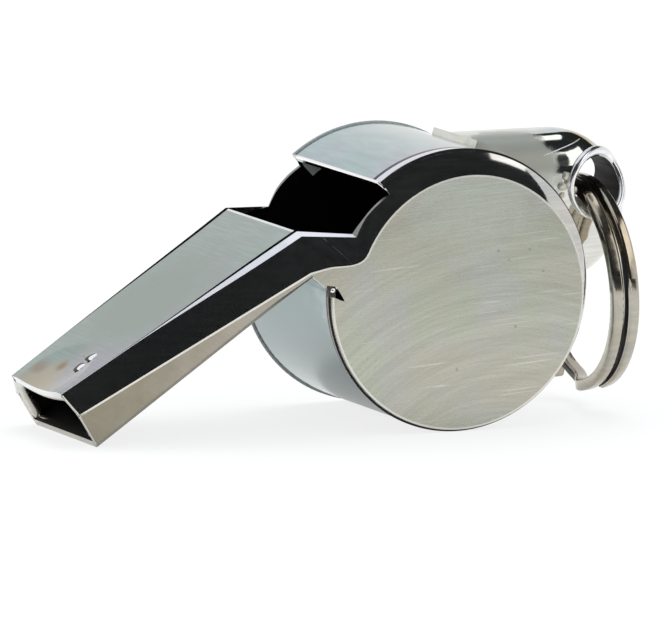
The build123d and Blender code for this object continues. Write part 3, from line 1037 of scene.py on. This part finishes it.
def cheek(node, outward):
    flat, highlight_finish, bevel, edge, strip, frame_end, inside, lip, rim = range(9)
    materials = [
        cheek_nickel, border_highlight_nickel, bevel_nickel, chamfer_nickel,
        strip_nickel, frame_nickel, near_black_shade_metal, lip_nickel, rim_nickel,
    ]
    outer, inner, faces, finishes = [], [], [], []

    def add_points(outside, within):
        first = len(outer)
        outer.extend(place(way, height, outward * aside) for way, height, aside in outside)
        inner.extend(place(way, height, outward * aside) for way, height, aside in within)
        return list(range(first, len(outer)))

    def add_face(indices, finish, within=inside):
        faces.append(list(indices))
        finishes.append((finish, within))

    rows = [add_points(*section) for section in sections]
    seam_shade_range = range(rim_start + tongue_first, rim_start + tongue_last)
    for number, (left, right) in enumerate(zip(rows, rows[1:])):
        spread = (outer[right[1]] - outer[right[-2]]).xz.length
        narrow = number > rim_start and spread < narrow_rim
        for row in range(len(left) - 1):
            # the border's first row, and also the second where the rim is narrow, is a painted highlight
            if row == 0 or narrow and row == 1:
                finish = highlight_finish
            # painted shade: the near-black inside metal shows the seam gap as a dark line
            elif narrow and row < len(left) - 2 or row == len(left) - 3 and number in seam_shade_range:
                finish = inside
            elif row < len(left) - 2:
                finish = bevel
            elif number < lip_start:
                finish = edge
            else:
                finish = lip if number < rim_start else rim
            overhang = number >= rim_start and row > 0
            add_face(
                (left[row], right[row], right[row + 1], left[row + 1]),
                finish,
                rim if overhang else inside,
            )

    feet = []
    for section in sections[:wall_count]:
        way, top, aside = section[0][0]
        bottom = between(way, bottom_stops)
        eased = min(foot_ease, (top - bottom) / 2)
        feet.append(add_points(
            [(way, bottom, aside - eased), (way, bottom + eased, aside)],
            [(way, bottom, aside - sheet), (way, bottom + eased, aside - sheet)],
        ))
    for number in range(wall_count - 1):
        left, right = feet[number], feet[number + 1]
        add_face((left[0], right[0], right[1], left[1]), strip)
        add_face((left[1], right[1], rows[number + 1][0], rows[number][0]), strip)

    corners = add_points(
        [(way, height, half_width) for way, height in open_corner],
        [(way, height, inner_half) for way, height in open_corner],
    )
    middle = add_points([(*border_centre, half_width)], [(*border_centre, inner_half)])[0]
    border = [row[0] for row in rows[wall_count - 1:]]
    # the fan stops before the border's end, because the last face takes that with the open corner
    fan, rest = border[:-4], border[-5:]
    for first, second in zip(fan, fan[1:]):
        add_face((middle, first, second), flat)
    add_face([middle, *rest, *corners, feet[-1][1], border[0]], flat)
    add_face((feet[-1][0], corners[-1], feet[-1][1]), strip)

    def side_finish(first, second):
        ends = [(outer[index] - drum_axis).dot(along) / millimetre for index in (first, second)]
        if max(ends) < front_slack - mouth_reach:
            return frame_end, True
        if min(first, second) >= rows[lip_start][0] and max(first, second) <= rows[-1][-1]:
            return (lip if min(first, second) < rows[rim_start][0] else rim), False
        return edge, False

    piece = sheet_piece(
        f"{node}_stamping", outer, inner, faces, finishes, side_finish, materials, edge_round,
    )
    hand_over(piece, node)


cheek("right_cheek", -1)
cheek("left_cheek", 1)

# %% [markdown]
# The roof is a plate between the two chamfers with a shallow ball-shaped dish for the teeth. A fine grid
# keeps the dish's rim crisp. A narrow open seam is left on both sides. The roof's end faces and its rearmost
# row are painted highlights, and the seam's sides are painted shade.

# %% Make the roof
dish_place = -mouth_reach + 1.6
dish_radius = 20.0
dish_depth = 0.45


def dish_drop(way, aside):
    """How far the dish lies under the flat roof at a point."""
    reach = hypot(way - dish_place, aside)
    if reach >= dish_radius:
        return 0.0
    return max(0.0, sqrt(dish_radius**2 - reach**2) - dish_radius + dish_depth)


def roof():
    polished, highlight_finish, seam, inside = range(4)
    along_steps, across_steps = 110, 56
    outer, inner, faces = [], [], []
    for column in range(along_steps + 1):
        way = -mouth_reach + (mouth_reach - window_front) * column / along_steps
        half = between(way, seam_stops) - chamfer_lean * edge_width(way) - roof_gap(way)
        for row in range(across_steps + 1):
            aside = half * (2 * row / across_steps - 1)
            drop = dish_drop(way, aside)
            outer.append(place(way, roof_height - drop, aside))
            inner.append(place(way, roof_height - drop - sheet, aside))
    for column in range(along_steps):
        for row in range(across_steps):
            first = column * (across_steps + 1) + row
            faces.append([first, first + across_steps + 1, first + across_steps + 2, first + 1])

    def side_finish(first, second):
        columns = {index // (across_steps + 1) for index in (first, second)}
        # the end faces are painted highlights, the long sides painted shade of the open seam
        return (highlight_finish if columns in ({0}, {along_steps}) else seam), False

    # the rearmost row is a painted highlight along the roof's rear edge
    rear_highlight = (along_steps - 1) * across_steps
    finishes = [(polished if number < rear_highlight else highlight_finish, inside) for number in range(len(faces))]
    piece = sheet_piece(
        "roof_plate", outer, inner, faces, finishes, side_finish,
        [roof_nickel, edge_nickel, painted_shade_metal, near_black_shade_metal],
    )
    hand_over(piece, "mouthpiece_roof")


roof()

# %% [markdown]
# The band is one strip bent round the drum, and the floor is a plate between the cheeks. Outside they are
# polished; inside they are dull, and painted near black as shade, as an open window shows them.

# %% Make the band and the floor
def band():
    piece = welded_copy("drum_band", "drum_band_strip")

    def finish_of(middle, normal):
        away = Vector((middle.x - drum_axis.x, 0, middle.z - drum_axis.z)).normalized()
        # inner faces take the near-black metal as painted shade
        return 1 if normal.dot(away) < -0.5 else 0

    sort_finishes(piece, [band_nickel, near_black_shade_metal], finish_of)
    even_normals(piece)
    hand_over(piece, "drum_band")


def floor_plate():
    piece = welded_copy("mouthpiece_floor", "floor_plate")

    def finish_of(middle, normal):
        if normal.dot(along) < -0.8:
            return 2
        # the floor's top, inside the windway, takes the near-black metal as painted shade
        return 1 if normal.dot(rise) > 0.5 else 0

    sort_finishes(piece, [roof_nickel, near_black_shade_metal, frame_nickel], finish_of)
    even_normals(piece)
    hand_over(piece, "mouthpiece_floor")


band()
floor_plate()

# %% [markdown]
# The lug is a tongue that is soldered on the drum and swells into an eye. Round the eye's hole the metal is
# rolled over into a bright rim, which is a bent tube here: its path is found by looking at the lug's side
# from outside, so it follows the round surface.

# %% Helpers for the lug
hole_radius = 2.4
rim_wire = 0.42
rim_points = 64
crease_wire = 0.04
crease_steps = 24
clearance = 0.03
lug_data = frame["nodes"]["lanyard_lug"].data
lug_tree = BVHTree.FromPolygons(
    [vertex.co for vertex in lug_data.vertices],
    [tuple(face.vertices) for face in lug_data.polygons],
)


def lug_side(x, z, outward):
    """The lug's surface at a place of its side, looked at from outside."""
    point, _, _, _ = lug_tree.ray_cast(Vector((x, outward * 0.05, z)), Vector((0, -outward, 0)))
    return point


def tube(name, path, radii, material, upright, closed=True):
    """A tube along a path of points, with a radius at each, closed in itself or capped at both ends.

    Upright is a direction that the path never follows.
    """
    sides = 12
    count = len(path)
    shape = bmesh.new()
    rings = []
    for number, (point, radius) in enumerate(zip(path, radii)):
        if closed:
            heading = path[(number + 1) % count] - path[number - 1]
        else:
            heading = path[min(number + 1, count - 1)] - path[max(number - 1, 0)]
        heading.normalize()
        first = heading.cross(upright).normalized()
        second = heading.cross(first)
        turns = [2 * pi * side / sides for side in range(sides)]
        rings.append([shape.verts.new(point + (first * cos(t) + second * sin(t)) * radius) for t in turns])
    for number in range(count if closed else count - 1):
        ring, following = rings[number], rings[(number + 1) % count]
        for side in range(sides):
            after = (side + 1) % sides
            shape.faces.new((ring[side], ring[after], following[after], following[side]))
    if not closed:
        shape.faces.new(rings[0])
        shape.faces.new(rings[-1])
    bmesh.ops.recalc_face_normals(shape, faces=shape.faces)
    mesh = bpy.data.meshes.new(name)
    shape.to_mesh(mesh)
    shape.free()
    mesh.materials.append(material)
    mesh.shade_smooth()
    return link_piece(name, mesh)


print("lug faces in the CAD model:", len(lug_data.polygons))

# %% [markdown]
# The lug keeps its CAD form, with a hole whose inside is painted near black as shade. The near rim lies on
# the lug's side, and the far one stands off it by a fraction of a millimetre.

# %% Make the lug, its rims and its crease
def lug():
    piece = welded_copy("lanyard_lug", "lug_stamping", weld=0.02, join_flats=False)

    def finish_of(middle, normal):
        from_hole = (middle - hole_axis).xz
        within = from_hole.length < 1.02 * hole_radius * millimetre
        # faces inside the hole take the near-black metal as painted shade
        return 1 if within and normal.xz.dot(from_hole) < 0 else 0

    sort_finishes(piece, [lug_nickel, near_black_shade_metal], finish_of)
    even_normals(piece, crease=35)
    hand_over(piece, "lanyard_lug")


def hole_rim(name, outward, stand_off=0.0):
    """A rolled rim that is thickest at its upper right, and may stand off the lug's side."""
    path, radii = [], []
    for number in range(rim_points):
        turn = 2 * pi * number / rim_points
        thick = rim_wire * (0.85 + 0.15 * cos(turn - pi / 4))
        reach = (hole_radius + thick + clearance) * millimetre
        point = lug_side(hole_axis.x + reach * cos(turn), hole_axis.z + reach * sin(turn), outward)
        path.append(point + across * outward * stand_off * millimetre)
        radii.append(thick * millimetre)
    add_detail(tube(name, path, radii, edge_nickel, across))


def crease():
    """A fine raised line where the stamping's two halves of the hood meet."""
    stops = [(18.1, 22.1), (20.0, 22.62), (22.2, 23.2)]
    path = []
    for number in range(crease_steps + 1):
        x = stops[0][0] + (stops[-1][0] - stops[0][0]) * number / crease_steps
        path.append(lug_side(x * millimetre, between(x, stops) * millimetre, -1))
    radii = [crease_wire * millimetre] * len(path)
    add_detail(tube("lug_crease", path, radii, edge_nickel, across, closed=False))


lug()
hole_rim("near_hole_rim", -1)
hole_rim("far_hole_rim", 1, stand_off=0.4)
crease()

# %% [markdown]
# Two edges are thicker than the bare sheet. The mouth is rolled inwards all round, which gives it a round
# frame, and the lip behind the window is folded. Both are tubes: the frame's path is the mouth's outline,
# moved inwards and rounded by cutting its corners twice. At the bottom the tube is thin and lies in the
# floor's plate, whose own edge shows there.

# %% Make the mouth's frame and the folded lip
frame_wire = 0.5
foot_wire = 0.3
foot_sink = 0.2
foot_top, wall_start = 7.2, 7.8
dish_clear = 0.12
lip_wire = 0.16
lip_steps = 20


def inset(outline, distance):
    """A closed outline, given anticlockwise as seen from the front, moved inwards."""
    moved = []
    for before, point, after in zip(outline[-1:] + outline, outline, outline[1:] + outline[:1]):
        first = (point - before).normalized()
        second = (after - point).normalized()
        first_in, second_in = Vector((-first.y, first.x)), Vector((-second.y, second.x))
        moved.append(point + (first_in + second_in) * distance / (1 + first_in.dot(second_in)))
    return moved


def cut_corners(outline):
    """A closed outline with each corner replaced by two points."""
    rounded = []
    for point, after in zip(outline, outline[1:] + outline[:1]):
        rounded.append(point.lerp(after, 0.25))
        rounded.append(point.lerp(after, 0.75))
    return rounded


def mouth_frame():
    flat, border = flat_stops[0][1], border_stops[0][1]
    seam, bottom = seam_stops[0][1], bottom_stops[0][1]
    sunk = bottom - foot_sink
    outline = [Vector((-flat + foot_ease, sunk)), Vector((flat - foot_ease, sunk))]
    outline += [Vector((flat, bottom + foot_ease)), Vector((flat, border)), Vector((seam, roof_height))]
    for number in range(1, 10):
        aside = seam * (1 - number / 5)
        outline.append(Vector((aside, roof_height - dish_clear - dish_drop(-mouth_reach, aside))))
    outline += [Vector((-seam, roof_height)), Vector((-flat, border)), Vector((-flat, bottom + foot_ease))]
    depth = frame_wire + clearance
    outline = cut_corners(cut_corners(inset(outline, depth)))
    path = [place(depth - mouth_reach, height, aside) for aside, height in outline]
    growth = [ease(height, foot_top, wall_start) for _, height in outline]
    radii = [(foot_wire + (frame_wire - foot_wire) * share) * millimetre for share in growth]
    add_detail(tube("mouth_frame", path, radii, frame_nickel, along))


def folded_lip():
    """The band's foremost edge over the window, and its turn down to the near cheek."""
    points = [vertex.co - drum_axis for vertex in frame["nodes"]["drum_band"].data.vertices]
    upper = [point for point in points if point.dot(rise) > 9 * millimetre]
    tip = min(upper, key=lambda point: point.dot(along))
    way, height = tip.dot(along) / millimetre, tip.dot(rise) / millimetre
    print("lip at", round(way, 2), round(height, 2))
    far_end, near_end = inner_half - 0.2, 0.4 - inner_half
    shares = [number / lip_steps for number in range(lip_steps + 1)]
    path = [place(way, height, far_end + (near_end - far_end) * share) for share in shares]
    path.append(place(*lip_corner, -inner_half - 0.1))
    radii = [lip_wire * millimetre] * len(path)
    add_detail(tube("folded_lip", path, radii, chamfer_nickel, along, closed=False))


mouth_frame()
folded_lip()

# %% [markdown]
# Small traces of handwork finish the picture: lumps of solder where the eye meets the drum, a bead of it in
# the open corner under the neck, and two tooth marks in the dish, drawn as a bright ball of painted
# highlight on a dark ball of painted shade. Each is a pressed, uneven ball.

# %% Add the solder and the tooth marks
unevenness = 0.25


def lumps(name, balls, material, normal, height):
    """Uneven balls in one mesh, each given by its middle and its radius in millimetres.

    They are pressed along the surface's normal to a share of their height.
    """
    shape = bmesh.new()
    for middle, radius in balls:
        made = bmesh.ops.create_icosphere(shape, subdivisions=3, radius=radius * millimetre)
        for vertex in made["verts"]:
            bulge = noise.noise(vertex.co / millimetre * 2 + Vector(middle))
            uneven = vertex.co * (1 + unevenness * bulge)
            pressed = uneven - normal * uneven.dot(normal) * (1 - height)
            vertex.co = pressed + Vector(middle) * millimetre
    mesh = bpy.data.meshes.new(name)
    shape.to_mesh(mesh)
    shape.free()
    mesh.shade_smooth()
    mesh.materials.append(material)
    return link_piece(name, mesh)


add_detail(lumps("eye_solder", [
    ((20.15, -3.62, 20.35), 0.42),
    ((20.45, -3.65, 19.75), 0.5),
    ((20.85, -3.62, 19.1), 0.4),
    ((19.8, -3.65, 19.5), 0.45),
    ((19.75, -3.62, 18.7), 0.35),
], solder_metal, across, 0.6))
add_detail(lumps("corner_bead", [((-3.72, -8.62, 12.5), 0.26)], chamfer_nickel, across, 0.7))
# dark balls of painted shade under bright balls of painted highlight stand for the tooth marks
add_detail(lumps("tooth_mark_shade", [
    ((-23.85, -1.95, 6.12), 0.55),
    ((-22.9, -2.2, 6.94), 0.55),
], painted_shade_metal, rise, 0.12))
add_detail(lumps("tooth_mark_highlights", [
    ((-23.79, -2.25, 6.16), 0.4),
    ((-22.83, -2.53, 6.99), 0.42),
], chamfer_nickel, rise, 0.3))

# %% [markdown]
# The split ring keeps its CAD form, two flat turns with a jog and softened corners. On the real one the turns
# press against each other, so here their facing sides are brought closer and are painted dark, as shade in
# the gap: the gap between the turns then reads as one dark line.

# %% Make the split ring
ring_half_gap = 0.225 * millimetre
ring_closing = 0.1 * millimetre


def ring():
    piece = welded_copy("split_ring", "ring_wire", join_flats=False)
    ring_low, ring_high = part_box("split_ring")
    centre = (ring_low + ring_high) / 2
    axle = across.cross(centre - hole_axis).normalized()

    def finish_of(middle, normal):
        """The sides where the two turns face each other are painted dark, as shade in the gap between them."""
        aside = (middle - centre).dot(axle)
        facing = normal.dot(axle)
        return 1 if abs(facing) > 0.9 and aside * facing < 0 else 0

    shaded_sides = set()
    for face in piece.data.polygons:
        if finish_of(face.center, face.normal):
            shaded_sides.update(face.vertices)
    # the facing sides take the dark metal as painted shade in the gap
    sort_finishes(piece, [wire_nickel, painted_shade_metal], finish_of)
    for index in shaded_sides:
        vertex = piece.data.vertices[index]
        aside = (vertex.co - centre).dot(axle)
        vertex.co -= axle * ring_closing * max(-1.0, min(1.0, aside / ring_half_gap))
    even_normals(piece, crease=40)
    hand_over(piece, "split_ring")


ring()

# %% [markdown]
# The pea is a ball of cork. Cork is cut from bark, so its skin has pores and darker grains. The ball is a
# fine mesh whose points sink into the pores, and its colour follows the same grain.

# %% Make the cork pea
pea_low, pea_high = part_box("cork_pea")
pea_centre = (pea_low + pea_high) / 2
pea_radius = (pea_high.x - pea_low.x) / 2
pore_size = 900
pore_depth = 0.25 * millimetre


def cork():
    material = bpy.data.materials.new("cork")
    material.use_nodes = True
    tree = material.node_tree
    shader = tree.nodes["Principled BSDF"]
    grains = add_node(tree, "ShaderNodeTexVoronoi", {"Vector": object_place(tree), "Scale": 1400.0})
    tone = add_node(tree, "ShaderNodeSeparateColor", {0: grains.outputs["Color"]}).outputs[0]
    colour = mix_colours(tree, tone, (0.36, 0.21, 0.10, 1), (0.62, 0.42, 0.24, 1))
    tree.links.new(colour, shader.inputs["Base Color"])
    rough = add_node(tree, "ShaderNodeMapRange", {0: tone, 3: 0.75, 4: 0.95})
    tree.links.new(rough.outputs[0], shader.inputs["Roughness"])
    return material


def pea():
    shape = bmesh.new()
    bmesh.ops.create_icosphere(shape, subdivisions=5, radius=pea_radius)
    for vertex in shape.verts:
        direction = vertex.co.normalized()
        pores = noise.noise(direction * pea_radius * pore_size)
        vertex.co -= direction * pore_depth * max(0.0, pores)
        vertex.co += pea_centre
    mesh = bpy.data.meshes.new("pea_ball")
    shape.to_mesh(mesh)
    shape.free()
    mesh.shade_smooth()
    mesh.materials.append(cork())
    hand_over(link_piece("pea_ball", mesh), "cork_pea")


pea()
